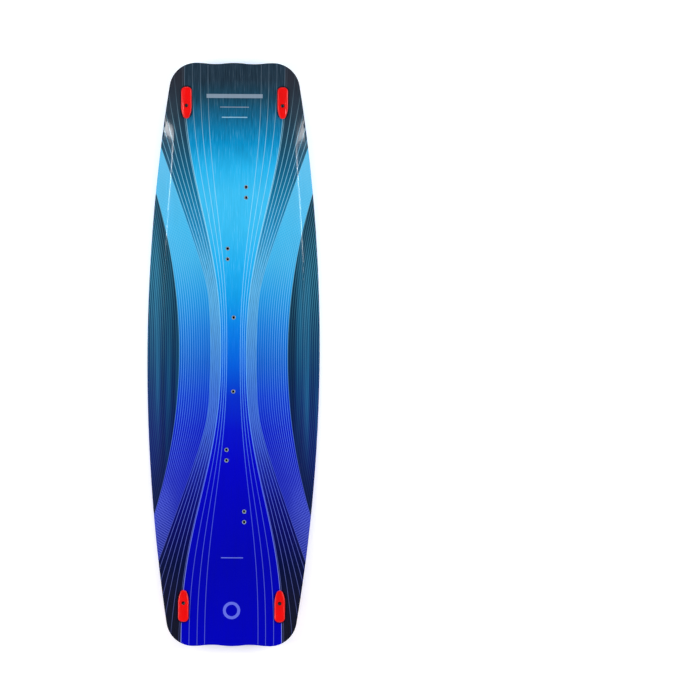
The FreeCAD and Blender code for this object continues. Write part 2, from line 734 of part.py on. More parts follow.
# ---------------------------------------------------------------- checks and files

doc.recompute()
for thing in doc.Objects:
    if "Invalid" in thing.State or "Error" in thing.State:
        raise RuntimeError(f"{thing.Name} failed: {thing.State}")
for feature in PARTS:
    if feature.Shape.isNull() or not feature.Shape.isValid() or not feature.Shape.Solids:
        raise RuntimeError(f"{feature.Label} has no valid shape")

os.makedirs("parts", exist_ok=True)
for feature in PARTS:
    feature.Shape.exportStep(f"parts/{feature.Label}.step")
print(f"{len(PARTS)} sub-parts written")
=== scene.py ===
"""The looks of a twin-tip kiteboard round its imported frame: metres, +Z up, nose at +Y, floor at z = 0.

The board's layers are fine meshes over one plan: an outline of arcs with holes for the inserts and the fin
boxes. Fins, caps, screws and inserts are meshes of their own. Every colour is a procedural material.
"""

import math

import bpy
import numpy as np
from mathutils import Matrix, Vector
from mathutils.geometry import delaunay_2d_cdt


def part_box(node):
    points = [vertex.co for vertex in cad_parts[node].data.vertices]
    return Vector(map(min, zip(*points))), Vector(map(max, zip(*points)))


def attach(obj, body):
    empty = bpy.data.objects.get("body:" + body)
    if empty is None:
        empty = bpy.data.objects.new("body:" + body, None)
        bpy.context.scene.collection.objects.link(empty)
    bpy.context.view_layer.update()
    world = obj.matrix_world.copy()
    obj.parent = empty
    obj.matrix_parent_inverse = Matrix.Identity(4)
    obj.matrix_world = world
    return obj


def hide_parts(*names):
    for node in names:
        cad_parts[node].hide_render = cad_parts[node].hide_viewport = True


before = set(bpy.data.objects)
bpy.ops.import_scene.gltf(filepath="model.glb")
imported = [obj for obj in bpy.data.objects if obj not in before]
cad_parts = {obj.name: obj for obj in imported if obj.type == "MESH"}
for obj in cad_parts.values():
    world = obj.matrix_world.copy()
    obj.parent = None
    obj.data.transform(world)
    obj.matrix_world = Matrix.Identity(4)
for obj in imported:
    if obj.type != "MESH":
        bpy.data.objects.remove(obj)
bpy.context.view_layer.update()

MILLIMETRES = 1000
TAU = 2 * math.pi

# the board's outline, from above
HALF_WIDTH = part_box("topsheet")[1].x
HALF_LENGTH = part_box("topsheet")[1].y
SIDE_ARC = 4.0
CORNER_ARC = 0.064
SCALLOP_ARC = 0.185
RAIL_WIDTH = 0.010

# base and deck, from the side, and the deck's bevel along each rail
FLOOR_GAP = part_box("base_sheet")[0].z
BASE_ARC = 5.69
DECK_ARC = 6.28
MIDDLE_THICKNESS = 0.0105
RAIL_HEIGHT = 0.006
BEVEL_WIDTH = 0.036
BEVEL_BLEND = 0.009

# layers
SHEET = 0.0005
LAMINATE = 0.00045
SKIN = SHEET + LAMINATE
DECK_EDGE_ROUND = 0.0012
BASE_EDGE_ROUND = 0.0006

# inserts: (across, along, apart) of each pair
INSERT_PAIRS = {
    "handle_inserts": (0.0, 0.0, 0.176),
    "nose_inner_pad_inserts": (-0.015, 0.239, 0.025),
    "nose_outer_pad_inserts": (0.028, 0.385, 0.025),
    "tail_inner_pad_inserts": (-0.015, -0.239, 0.025),
    "tail_outer_pad_inserts": (0.028, -0.385, 0.025),
}
INSERT_SITES = {
    pair: [(x, y - apart / 2), (x, y + apart / 2)] for pair, (x, y, apart) in INSERT_PAIRS.items()
}
ALL_SITES = [site for pair in INSERT_SITES.values() for site in pair]
INSERT_RADIUS = 0.005
FLANGE_RADIUS = 0.010
FLANGE_THICKNESS = 0.0015
INSERT_DEPTH = 0.007
INSERT_BORE = 0.0025
INSERT_BORE_DEPTH = 0.006
THREAD_PITCH = 0.0008

# fins, their tangs and boxes, and the caps over them
CORNERS = {"nose_left": (-1, 1), "nose_right": (1, 1), "tail_left": (-1, -1), "tail_right": (1, -1)}
FIN_ACROSS = 0.114
FIN_ALONG = 0.600
FIN_SITES = [(side * FIN_ACROSS, end * FIN_ALONG) for side, end in CORNERS.values()]
FIN_ROOT = (0.126, 0.0095)
FIN_TIP = (0.032, 0.0032)
FIN_TAPER = 1.15
FIN_SWELL = (3.1, 1.95)
TANG = (0.056, 0.0095)
BOX_SLOT = (0.0623, 0.0158)
CAP_ALONG = 0.596
CAP_HALF_WIDTH = 0.0125
CAP_HALF_LENGTH = 0.0375
CAP_CORNER = 0.0105
CAP_FLANK = 0.060
CAP_NARROW = 0.008
CAP_HEIGHT = 0.006
CAP_EDGE_ROUND = 0.0026
CAP_CROWN = 0.0007
GASKET = 0.001
SCREW_OFFSET = 0.0065
SCREW_HOLE = 0.0028
SCREW_RADIUS = 0.00245
SCREW_HEAD = 0.004
SCREW_HEAD_HEIGHT = 0.003
SCREW_SINK = 0.0012
SCREW_BORE = 0.0045
SCREW_REACH = 0.008
HEX_FLAT = 0.002
HEX_DEPTH = 0.0018


# ---------------------------------------------------------------- surfaces of the board


def side_at(y):
    """How far the side arc lies from the board's centre line."""
    return HALF_WIDTH - SIDE_ARC + np.sqrt(SIDE_ARC**2 - np.square(y))


def base_height(x, y, above=0.0):
    return FLOOR_GAP + BASE_ARC - np.sqrt((BASE_ARC - above) ** 2 - np.square(y))


def deck_height(x, y, below=0.0):
    """The deck: flat across, then a bevel down to the rail, with the crease between them eased."""
    middle = FLOOR_GAP + MIDDLE_THICKNESS + DECK_ARC - np.sqrt(DECK_ARC**2 - np.square(y))
    rail = base_height(x, y) + RAIL_HEIGHT
    fall = (middle - rail) / BEVEL_WIDTH
    bevel = rail + fall * (side_at(y) - np.abs(x))
    blend = fall * BEVEL_BLEND
    near = np.maximum(blend - np.abs(middle - bevel), 0) / blend
    return np.minimum(middle, bevel) - near**2 * blend / 4 - below


def centre_height(y):
    return float(deck_height(0.0, y))


# ---------------------------------------------------------------- outlines


def arc(centre_x, centre_y, radius, start, end, count):
    """Points along an arc, without its last one."""
    angles = np.linspace(start, end, count, endpoint=False)
    return [(centre_x + radius * math.cos(a), centre_y + radius * math.sin(a)) for a in angles]


def all_round(quarter):
    """A closed outline from its first quarter, which runs from the X axis to the Y axis."""
    first = np.array(quarter)
    mirrored = (first * (-1, 1))[::-1]
    return np.concatenate([first[:-1], mirrored[:-1], -first[:-1], -mirrored[:-1]])


def outline(inset):
    """The board's outline moved inwards, counter-clockwise: a long side arc, a tight corner, then a tip of
    shallow arcs with a scallop between two crests. Every inset has the same points on the same normals."""
    corner_y = HALF_LENGTH - CORNER_ARC
    corner_x = HALF_WIDTH - SIDE_ARC + math.sqrt((SIDE_ARC - CORNER_ARC) ** 2 - corner_y**2)
    lean = math.asin(corner_y / (SIDE_ARC - CORNER_ARC))
    swing = math.asin(corner_x / 4 / SCALLOP_ARC)
    crest_y = HALF_LENGTH - SCALLOP_ARC
    scallop_y = crest_y + 2 * SCALLOP_ARC * math.cos(swing)
    square, down = math.pi / 2, 3 * math.pi / 2
    crest, scallop = SCALLOP_ARC - inset, SCALLOP_ARC + inset
    quarter = arc(HALF_WIDTH - SIDE_ARC, 0, SIDE_ARC - inset, 0, lean, 170)
    quarter += arc(corner_x, corner_y, CORNER_ARC - inset, lean, square, 26)
    quarter += arc(corner_x, crest_y, crest, square, square + swing, 6)
    quarter += arc(corner_x / 2, scallop_y, scallop, down + swing, down - swing, 12)
    quarter += arc(0, crest_y, crest, square - swing, square, 6)
    return all_round(quarter + [(0, HALF_LENGTH - inset)])


def circle(x, y, radius, count=40):
    return np.array(arc(x, y, radius, 0, TAU, count))


def slot(x, y, size, grow=0.0):
    """A shape with two half-round ends, along Y."""
    length, width = size
    radius = width / 2 + grow
    reach = (length - width) / 2
    top = arc(x, y + reach, radius, 0, math.pi, 14) + [(x - radius, y + reach)]
    bottom = arc(x, y - reach, radius, math.pi, TAU, 14) + [(x + radius, y - reach)]
    return np.array(top + bottom)


def cap_outline(inset):
    """The cap from above: round corners and a short flat at the tip, and flanks that curve in to a narrow end
    towards the board's middle."""
    wide, long = CAP_HALF_WIDTH - inset, CAP_HALF_LENGTH - inset
    corner, flank, narrow = CAP_CORNER - inset, CAP_FLANK - inset, CAP_NARROW - inset
    x, y, low = wide - corner, long - corner, narrow - long
    apart = flank - narrow
    swing = math.sqrt(apart**2 - (flank - wide) ** 2)
    start, lean = low + swing, math.asin(swing / apart)
    points = arc(0, low, narrow, math.pi + lean, TAU - lean, 20)
    points += arc(wide - flank, start, flank, -lean, 0, 10)
    points += [(wide, start + (y - start) * k / 8) for k in range(8)]
    points += arc(x, y, corner, 0, math.pi / 2, 14)
    points += [(x - 2 * x * k / 3, long) for k in range(3)]
    points += arc(-x, y, corner, math.pi / 2, math.pi, 14)
    points += [(-wide, y - (y - start) * k / 8) for k in range(8)]
    points += arc(flank - wide, start, flank, math.pi, math.pi + lean, 10)
    return np.array(points)


def inside(points, loop):
    """Which points lie inside a closed outline."""
    x, y = points[:, :1], points[:, 1:]
    here, there = loop, np.roll(loop, -1, axis=0)
    spans = (here[:, 1] > y) != (there[:, 1] > y)
    rise = np.where(here[:, 1] == there[:, 1], 1.0, there[:, 1] - here[:, 1])
    crossing = here[:, 0] + (y - here[:, 1]) / rise * (there[:, 0] - here[:, 0])
    return (spans & (x < crossing)).sum(axis=1) % 2 == 1


# ---------------------------------------------------------------- meshes


class Plan:
    """A flat triangulation inside an outline, less its holes, through a set of filling points."""

    def __init__(self, outer, holes, filling):
        loops = [outer, *holes]
        points = [Vector(p) for loop in loops for p in loop] + [Vector(p) for p in filling]
        edges, starts, first = [], [], 0
        for loop in loops:
            starts.append((first, len(loop)))
            edges += [(first + k, first + (k + 1) % len(loop)) for k in range(len(loop))]
            first += len(loop)
        made, _, faces, origins, _, _ = delaunay_2d_cdt(points, edges, [], 2, 1e-8)
        place = {old: new for new, olds in enumerate(origins) for old in olds}
        self.points = np.array([tuple(p) for p in made])
        middles = self.points[np.array(faces)].mean(axis=1)
        solid = inside(middles, outer)
        for hole in holes:
            solid &= ~inside(middles, hole)
        self.faces = [tuple(f) for f, kept in zip(faces, solid) if kept]
        self.loops = [[place[first + k] for k in range(count)] for first, count in starts]


def wall(rings, outward=True):
    """Quads between rings of vertex numbers, the first ring highest."""
    quads = []
    for upper, lower in zip(rings, rings[1:]):
        for k in range(len(upper)):
            n = (k + 1) % len(upper)
            quad = (upper[k], lower[k], lower[n], upper[n])
            quads.append(quad if outward else quad[::-1])
    return quads


def shell(plan, top, bottom, walls):
    """A closed solid over a plan. top and bottom give heights, and walls holds, for each of the plan's loops,
    the rings of points between the top face and the bottom face."""
    x, y = plan.points[:, 0], plan.points[:, 1]
    count = len(plan.points)
    vertices = list(np.column_stack([x, y, top(x, y)])) + list(np.column_stack([x, y, bottom(x, y)]))
    faces = list(plan.faces) + [tuple(count + k for k in reversed(f)) for f in plan.faces]
    for number, (loop, rings) in enumerate(zip(plan.loops, walls)):
        numbered = [loop]
        for ring in rings:
            first = len(vertices)
            vertices += list(ring)
            numbered.append(range(first, len(vertices)))
        numbered.append([count + k for k in loop])
        faces += wall(numbered, outward=number == 0)
    return vertices, faces


def turned(profile, count=48):
    """A closed solid turned about the Z axis. The profile runs from the axis at the bottom, out, up and back
    to the axis, as (radius, height); a radius may be a function of the angle."""
    angles = np.arange(count) * TAU / count
    vertices = [(0, 0, profile[0][1])]
    faces, below = [], None
    for radius, height in profile[1:-1]:
        reach = radius(angles) if callable(radius) else np.full(count, radius)
        ring = range(len(vertices), len(vertices) + count)
        vertices += list(zip(reach * np.cos(angles), reach * np.sin(angles), [height] * count))
        if below is None:
            faces += [(0, ring[(k + 1) % count], ring[k]) for k in range(count)]
        else:
            faces += wall([ring, below])
        below = ring
    vertices.append((0, 0, profile[-1][1]))
    last = len(vertices) - 1
    faces += [(below[k], below[(k + 1) % count], last) for k in range(count)]
    return vertices, faces


def thread(crest, root, low, high, pitch):
    """A profile of crests and roots up a threaded stretch."""
    turns = int((high - low) / pitch)
    steps = []
    for k in range(turns):
        steps += [(root, low + k * pitch), (crest, low + (k + 0.5) * pitch)]
    return steps


def placed(mesh, matrix):
    vertices, faces = mesh
    return [tuple(matrix @ Vector(v)) for v in vertices], faces


def joined(*meshes):
    vertices, faces = [], []
    for more_vertices, more_faces in meshes:
        first = len(vertices)
        vertices += more_vertices
        faces += [tuple(first + k for k in f) for f in more_faces]
    return vertices, faces


def piece(name, mesh, material, slot_name, *nodes, sharp=35):
    """A finished piece, which stands for CAD nodes."""
    vertices, faces = mesh
    data = bpy.data.meshes.new(name)
    data.from_pydata([tuple(map(float, v)) for v in vertices], [], faces)
    data.validate()
    data.polygons.foreach_set("use_smooth", [True] * len(data.polygons))
    data.set_sharp_from_angle(angle=math.radians(sharp))
    data.materials.append(material)
    made = bpy.data.objects.new(name, data)
    bpy.context.scene.collection.objects.link(made)
    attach(made, "root")
    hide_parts(*nodes)
    return made


# ---------------------------------------------------------------- arithmetic in materials


def rgb(code):
    """A linear colour from a six-digit sRGB code."""
    parts = [int(code[k : k + 2], 16) / 255 for k in (0, 2, 4)]
    return [p / 12.92 if p <= 0.04045 else ((p + 0.055) / 1.055) ** 2.4 for p in parts] + [1.0]


class Signal:
    """A number that varies over a surface, with ordinary arithmetic."""

    def __init__(self, tree, socket):
        self.tree = tree
        self.socket = socket

    def math(self, operation, *others):
        node = self.tree.nodes.new("ShaderNodeMath")
        node.operation = operation
        for place, value in zip(node.inputs, (self, *others)):
            connect(self.tree, value, place)
        return Signal(self.tree, node.outputs[0])

    def __add__(self, other):
        return self.math("ADD", other)

    def __sub__(self, other):
        return self.math("SUBTRACT", other)

    def __mul__(self, other):
        return self.math("MULTIPLY", other)

    def __truediv__(self, other):
        return self.math("DIVIDE", other)

    def __abs__(self):
        return self.math("ABSOLUTE")

    def flip(self):
        """One less the number."""
        return self * -1 + 1

    def rise(self, low, high, kind="SMOOTHSTEP"):
        """0 below low, 1 above high and smooth between them."""
        node = self.tree.nodes.new("ShaderNodeMapRange")
        node.interpolation_type = kind
        for place, value in zip(node.inputs[:3], (self, low, high)):
            connect(self.tree, value, place)
        return Signal(self.tree, node.outputs[0])

    def fall(self, low, high):
        return self.rise(low, high).flip()


def connect(tree, value, place):
    if isinstance(value, Signal):
        tree.links.new(value.socket, place)
    else:
        place.default_value = value


class Paint:
    """A new material's node tree, with its coordinates and its Principled shader."""

    def __init__(self, name, roughness=0.4, **settings):
        self.material = bpy.data.materials.new(name)
        self.material.use_nodes = True
        self.tree = self.material.node_tree
        self.shader = self.tree.nodes["Principled BSDF"]
        self.shader.inputs["Roughness"].default_value = roughness
        for key, value in settings.items():
            self.shader.inputs[key.replace("_", " ").title().replace("Ior", "IOR")].default_value = value
        self.place = self.tree.nodes.new("ShaderNodeTexCoord").outputs["Object"]
        split = self.tree.nodes.new("ShaderNodeSeparateXYZ")
        self.tree.links.new(self.place, split.inputs[0])
        self.x, self.y, self.z = (Signal(self.tree, out) for out in split.outputs)

    def noise(self, scale, detail=3.0, roughness=0.55):
        """Noise whose scale may differ along X, Y and Z."""
        mapping = self.tree.nodes.new("ShaderNodeMapping")
        mapping.inputs["Scale"].default_value = scale
        self.tree.links.new(self.place, mapping.inputs["Vector"])
        node = self.tree.nodes.new("ShaderNodeTexNoise")
        node.inputs["Scale"].default_value = 1.0
        node.inputs["Detail"].default_value = detail
        node.inputs["Roughness"].default_value = roughness
        self.tree.links.new(mapping.outputs[0], node.inputs["Vector"])
        return Signal(self.tree, node.outputs["Fac"])

    def ramp(self, factor, stops):
        """Colours along a number from 0 to 1: stops are (place, colour code)."""
        node = self.tree.nodes.new("ShaderNodeValToRGB")
        band = node.color_ramp
        while len(band.elements) < len(stops):
            band.elements.new(1.0)
        for element, (place, code) in zip(band.elements, stops):
            element.position = place
            element.color = rgb(code)
        connect(self.tree, factor, node.inputs[0])
        return node.outputs[0]

    def mix(self, under, over, amount, mode="MIX"):
        node = self.tree.nodes.new("ShaderNodeMix")
        node.data_type = "RGBA"
        node.blend_type = mode
        connect(self.tree, amount, node.inputs[0])
        for place, colour in ((node.inputs[6], under), (node.inputs[7], over)):
            if isinstance(colour, bpy.types.NodeSocket):
                self.tree.links.new(colour, place)
            else:
                place.default_value = rgb(colour)
        return node.outputs[2]

    def colour(self, socket):
        self.tree.links.new(socket, self.shader.inputs["Base Color"])

    def rough(self, amount):
        connect(self.tree, amount, self.shader.inputs["Roughness"])

    def bump(self, height, distance, strength=1.0):
        node = self.tree.nodes.new("ShaderNodeBump")
        node.inputs["Distance"].default_value = distance
        node.inputs["Strength"].default_value = strength
        connect(self.tree, height, node.inputs["Height"])
        self.tree.links.new(node.outputs[0], self.shader.inputs["Normal"])


def hairline(distance, half_width=0.42, soft=0.55):
    """1 on a line and 0 beside it, from a distance in millimetres."""
    return abs(distance).fall(half_width, half_width + soft)


def lines(phase, spacing, half_width=0.42, soft=0.5):
    """Lines wherever the phase is a whole number, from the spacing of the phase in millimetres."""
    return hairline(((phase + 0.5).math("FRACT") - 0.5) * spacing, half_width, soft)


# ---------------------------------------------------------------- the printed sheets

# colours along the board, from the tail at -0.7 to the nose at 0.7, as (metres, colour)
CENTRE = [
    (-0.66, "0000ba"), (-0.50, "0001b1"), (-0.34, "0101bd"), (-0.26, "0202c5"), (-0.18, "0410ca"),
    (-0.10, "042fcc"), (-0.02, "0260dd"), (0.06, "057ee6"), (0.14, "10a0ec"), (0.22, "22b2f3"),
    (0.30, "38bef5"), (0.38, "3cc0f5"), (0.44, "26b5ef"), (0.50, "0592cc"), (0.56, "116b95"),
    (0.605, "1a4a62"), (0.65, "233747"),
]
DARK_BAND = [
    (-0.64, "141628"), (-0.58, "10132e"), (-0.50, "040d3c"), (-0.42, "06095e"), (-0.34, "090f7c"),
    (-0.26, "1826a4"), (-0.18, "2640b8"), (-0.10, "2c54c4"), (-0.02, "3472cc"), (0.06, "4088d0"),
    (0.14, "4098d4"), (0.22, "389cd0"), (0.30, "248cc0"), (0.38, "1878a2"), (0.44, "146084"),
    (0.50, "1c4a62"), (0.56, "213848"), (0.65, "292d38"),
]
LIGHT_PANEL = [
    (-0.44, "101c90"), (-0.34, "1822ac"), (-0.26, "121cb6"), (-0.18, "0a1cc2"), (-0.10, "0e3acc"),
    (-0.02, "0c5ac8"), (0.06, "1476d6"), (0.14, "2296e0"), (0.22, "3aaee6"), (0.30, "40b8ec"),
    (0.38, "4cbaea"), (0.44, "58beec"),
]
OUTER_PANEL = [
    (-0.36, "0a104e"), (-0.26, "0b1766"), (-0.18, "0c1f6a"), (-0.10, "0c2c6a"), (-0.02, "0a3464"),
    (0.06, "0a365e"), (0.14, "0b3e5e"), (0.22, "104660"), (0.32, "0e3e54"),
]
PALE_LINE = [
    (-0.60, "7c88dc"), (-0.44, "6c7cee"), (-0.30, "5c72f0"), (-0.10, "60a0f8"), (0.10, "7ccffc"),
    (0.35, "96e0ff"), (0.50, "84c8e8"), (0.58, "7398ac"), (0.66, "64788a"),
]
BASE_MIDDLE = [
    (-0.66, "0101a8"), (-0.42, "0100a4"), (-0.30, "0202ba"), (-0.20, "0307c8"), (-0.12, "0130d2"),
    (-0.05, "025ddc"), (0.06, "0277e2"), (0.20, "058ce7"), (0.36, "04a0ef"), (0.48, "02acf5"),
    (0.66, "02acf4"),
]
BASE_SIDE = [
    (-0.66, "02029c"), (-0.44, "0101a8"), (-0.37, "030cc0"), (-0.28, "0236d6"), (-0.18, "0158dc"),
    (-0.08, "0180e6"), (0.02, "029bee"), (0.16, "01a8f4"), (0.30, "01aef7"), (0.50, "00b1fa"),
    (0.66, "04a8ec"),
]
RAMP_SPAN = 1.4

# borders of the deck's panels, in millimetres from the centre line: each at the waist, and how it spreads
CENTRE_WAIST, CENTRE_SPREAD = 30.2, 89
BAND_WAIST, BAND_SLOPE = 52.5, 0.18
BAND_BEND, BAND_EASE = 155, 3600
PANEL_WAIST, PANEL_CURVE = 128.5, 0.00039

# plain bars across the deck, in millimetres: (colour, half length, place along, half width, strength)
RULES = [
    ("8fa1b4", 66, 612, 4.5, 0.8), ("8fa1b4", 34, 586, 0.8, 0.7),
    ("a0d0ea", 30, 562, 0.9, 0.7), ("7f8ff0", 26, -482, 0.7, 0.7),
]
RING_PLACE, RING_RADIUS, RING_HALF_WIDTH = -606, 17, 3.2


def along(paint, stops):
    """A colour that changes along the board."""
    share = paint.y / RAMP_SPAN + 0.5
    return paint.ramp(share, [(metres / RAMP_SPAN + 0.5, code) for metres, code in stops])


def deck_print():
    """The deck's graphic: a centre panel that narrows at the waist, a dark band each side that opens towards
    the tips, a light side panel and a dark outer panel, all drawn over with hairlines."""
    paint = Paint(
        "deck_print", roughness=0.2, specular_ior_level=0.2, coat_weight=0.4, coat_roughness=0.04
    )
    x, y = abs(paint.x * MILLIMETRES), paint.y * MILLIMETRES
    far = abs(y)
    past = far - BAND_BEND
    centre_edge = far.rise(-20, 698, "SMOOTHERSTEP") * CENTRE_SPREAD + CENTRE_WAIST
    band_edge = ((past * past + BAND_EASE).math("SQRT") + past) * BAND_SLOPE + BAND_WAIST
    panel_edge = y * y * PANEL_CURVE + PANEL_WAIST

    grain = paint.noise((520, 26, 40), detail=5)
    cloud = paint.noise((60, 6, 20), detail=2)
    streak = paint.noise((75, 1.1, 10), detail=2)
    pale = along(paint, PALE_LINE)
    at_nose = y.rise(420, 600)
    at_waist = far.fall(120, 300)

    # centre panel: wood grain, three hairlines each side
    centre = along(paint, CENTRE)
    centre = paint.mix(centre, "04121c", grain.rise(0.42, 0.75) * (at_nose * 0.45 + 0.08))
    centre = paint.mix(centre, pale, grain.fall(0.26, 0.46) * y.rise(-80, 200) * 0.22)
    rays = hairline(x - centre_edge * 0.53) + hairline(x - centre_edge * 0.68)
    rays = rays + hairline(x - centre_edge * 0.84)
    strength = (y.fall(560, 640) * 0.35 + 0.45) * (y.rise(-620, 60) * 0.5 + 0.5)
    centre = paint.mix(centre, pale, rays * strength)

    # dark band: five hairlines, crossed by finer ones that close up into a haze at the waist
    band_width = band_edge - centre_edge
    share = (x - centre_edge) / band_width
    band = along(paint, DARK_BAND)
    band = paint.mix(band, "04080f", grain.rise(0.45, 0.75) * 0.3)
    reach_out = far.rise(60, 260) * y.fall(520, 640) * y.rise(-720, -260) * 0.55 + 0.2
    band = paint.mix(band, pale, lines(share * 6 - 0.25, band_width / 6, 0.38) * reach_out)
    cross = lines(share * 9 + y / 95, band_width / 9, 0.3, 0.5)
    cross = cross + lines(share * 5 - y / 60, band_width / 5, 0.3, 0.5)
    band = paint.mix(band, pale, cross * at_waist * 0.32)

    # light panel: hairlines that grow brighter towards the outer edge, and a hatch near its two ends
    panel_width = panel_edge - band_edge
    share = (x - band_edge) / panel_width
    panel = along(paint, LIGHT_PANEL)
    fading = share.rise(-0.1, 1.0) * 0.5 + 0.3
    waist_lines = y.fall(120, 330) * 0.7 + 0.3
    panel = paint.mix(panel, pale, lines(share * 14, panel_width / 14, 0.3, 0.45) * fading * waist_lines)
    hatch = lines((x * 0.5 - y * 0.87) / 5.4, 5.4, 0.5, 0.8)
    spot = (((x - 172) / 40).math("POWER", 2) + ((y + 410) / 110).math("POWER", 2)).fall(0.0, 1.6)
    panel = paint.mix(panel, pale, hatch * spot * 0.4)
    panel = paint.mix(panel, pale, hatch * y.rise(150, 300) * 0.12)

    # outer panel: close hairlines, then broad soft streaks towards the tail
    outer = along(paint, OUTER_PANEL)
    outer = paint.mix(outer, "2a86b4", streak.rise(0.47, 0.75) * y.rise(-330, -40) * 0.5)
    outer = paint.mix(outer, "030a1e", streak.fall(0.28, 0.46) * 0.4)
    teal = lines((x - panel_edge * 0.86) / 5.1, 5.1, 0.6, 0.8)
    outer = paint.mix(outer, "58b4d4", teal * (y.rise(-90, 200) * 0.36 + 0.06))
    outer = paint.mix(outer, "04102c", (x - panel_edge).fall(6, 42) * 0.42)

    # the panels beside each other, then the bright line round the centre panel
    colour = paint.mix(panel, outer, (x - panel_edge).rise(-0.4, 0.4))
    colour = paint.mix(band, colour, (x - band_edge).rise(-0.4, 0.4))
    colour = paint.mix(centre, colour, (x - centre_edge).rise(-0.4, 0.4))
    edges = hairline(x - centre_edge, 0.55) * (y.fall(560, 640) * 0.4 + 0.5)
    colour = paint.mix(colour, pale, edges + hairline(x - band_edge, 0.35) * 0.35)
    colour = paint.mix(colour, pale, hairline(x - panel_edge, 0.35) * 0.4)

    # plain ornaments: three rules near the nose, one near the tail and a ring
    for code, half_length, height, half_width, amount in RULES:
        colour = paint.mix(colour, code, rule(x, y, half_length, height, half_width) * amount)
    off_y = y - RING_PLACE
    reach = (x * x + off_y * off_y).math("SQRT")
    ring = hairline(reach - RING_RADIUS, RING_HALF_WIDTH, 0.4)
    colour = paint.mix(colour, "6d78ec", ring * 0.85)

    # painted shadow: a dark surround close to each cap, standing for the shade round its foot
    cap_x, cap_y = x - FIN_ACROSS * MILLIMETRES, far - CAP_ALONG * MILLIMETRES - 2
    beyond = (abs(cap_y) - 24).math("MAXIMUM", 0)
    clear = (cap_x * cap_x + beyond * beyond).math("SQRT") - CAP_HALF_WIDTH * MILLIMETRES
    colour = paint.mix(colour, "05030a", clear.fall(0.2, 3.4) * 0.75)

    mottle = cloud * 0.16 + grain * 0.10
    colour = paint.mix(colour, "000000", mottle.rise(0.10, 0.22) * 0.08)
    paint.colour(colour)
    paint.rough(grain * 0.08 + 0.17)
    paint.bump(grain, 0.00004, 0.5)
    return paint.material


def rule(x, y, reach, height, half_width):
    """A plain bar across the board."""
    return x.fall(reach, reach + 0.5) * abs(y - height).fall(half_width, half_width + 0.5)


def base_print():
    """The base's graphic: cyan at the nose to deep blue at the tail, with the lighter blue kept longer at the
    sides, one pale stripe of hairlines up the middle and a single hairline behind it."""
    paint = Paint("base_print", roughness=0.24, coat_weight=0.4, coat_roughness=0.12)
    x, y = abs(paint.x * MILLIMETRES), paint.y * MILLIMETRES
    drift = paint.noise((5, 1.2, 3), detail=2)
    grit = paint.noise((900, 900, 900), detail=1)
    outward = (x + drift * 24).rise(6, 168)
    colour = paint.mix(along(paint, BASE_MIDDLE), along(paint, BASE_SIDE), outward)
    stripe = x.fall(19, 19.5) * y.rise(-72, -40) * y.fall(540, 548)
    colour = paint.mix(colour, "8fd0fb", stripe * (lines(x / 3.4, 3.4, 0.5, 0.4) * 0.45 + 0.12))
    hair = hairline(x, 0.5, 0.4) * (abs(y + 230)).fall(92, 93)
    colour = paint.mix(colour, "7fa0f6", hair * 0.6)
    colour = paint.mix(colour, "ffffff", grit.rise(0.55, 0.8) * 0.03)
    paint.colour(colour)
    paint.rough(grit * 0.10 + 0.20)
    paint.bump(grit, 0.00002, 0.4)
    return paint.material


# ---------------------------------------------------------------- the other materials

# repeats of the laminates' weave, the fins' weave and the core's strips
GLASS_WEAVE = 0.0024
FIN_WEAVE = 0.003
WOOD_STRIP = 0.022


def laminate_glass():
    """Glass cloth in clear epoxy: a fine plain weave."""
    paint = Paint("glass_laminate", roughness=0.3, coat_weight=0.3)
    warp = (paint.x * (TAU / GLASS_WEAVE)).math("SINE")
    weft = (paint.y * (TAU / GLASS_WEAVE)).math("SINE")
    weave = warp * weft * 0.5 + 0.5
    resin = paint.noise((30, 30, 30))
    cloth = paint.ramp(weave, [(0.0, "4c5448"), (1.0, "6a7262")])
    paint.colour(paint.mix(cloth, "424c3e", resin.rise(0.4, 0.7) * 0.4))
    paint.bump(weave, 0.00005, 0.5)
    return paint.material


def wood():
    """Narrow planed strips, glued side by side along the board, each with its own grain and tone."""
    paint = Paint("core_wood", roughness=0.6)
    strip = (paint.x / WOOD_STRIP + 100).math("FLOOR")
    tone = (strip * 12.9898).math("SINE").math("MULTIPLY", 43.7585).math("FRACT")
    grain = paint.noise((260, 7, 60), detail=5)
    shade = abs(tone) * 0.45 + grain * 0.55
    colour = paint.ramp(shade, [(0.15, "8a6a42"), (0.5, "b99566"), (0.85, "dcc297")])
    from_joint = ((paint.x / WOOD_STRIP).math("FRACT") - 0.5) * (WOOD_STRIP * MILLIMETRES) + 10.7
    joint = hairline(from_joint, 0.12, 0.2)
    paint.colour(paint.mix(colour, "4a3520", joint * 0.7))
    paint.rough(grain * 0.2 + 0.5)
    paint.bump(grain, 0.0001, 0.4)
    return paint.material


def moulded(name, dark, light, roughness, scale=1800, **settings):
    """A moulded plastic or rubber with a fine spark-eroded texture and a slow drift of tone."""
    paint = Paint(name, roughness=roughness, **settings)
    texture = paint.noise((scale, scale, scale), detail=2)
    drift = paint.noise((24, 24, 24), detail=2)
    paint.colour(paint.ramp(texture * 0.4 + drift * 0.6, [(0.3, dark), (0.7, light)]))
    paint.rough(texture * 0.16 + (roughness - 0.08))
    paint.bump(texture, 0.00003, 0.5)
    return paint.material


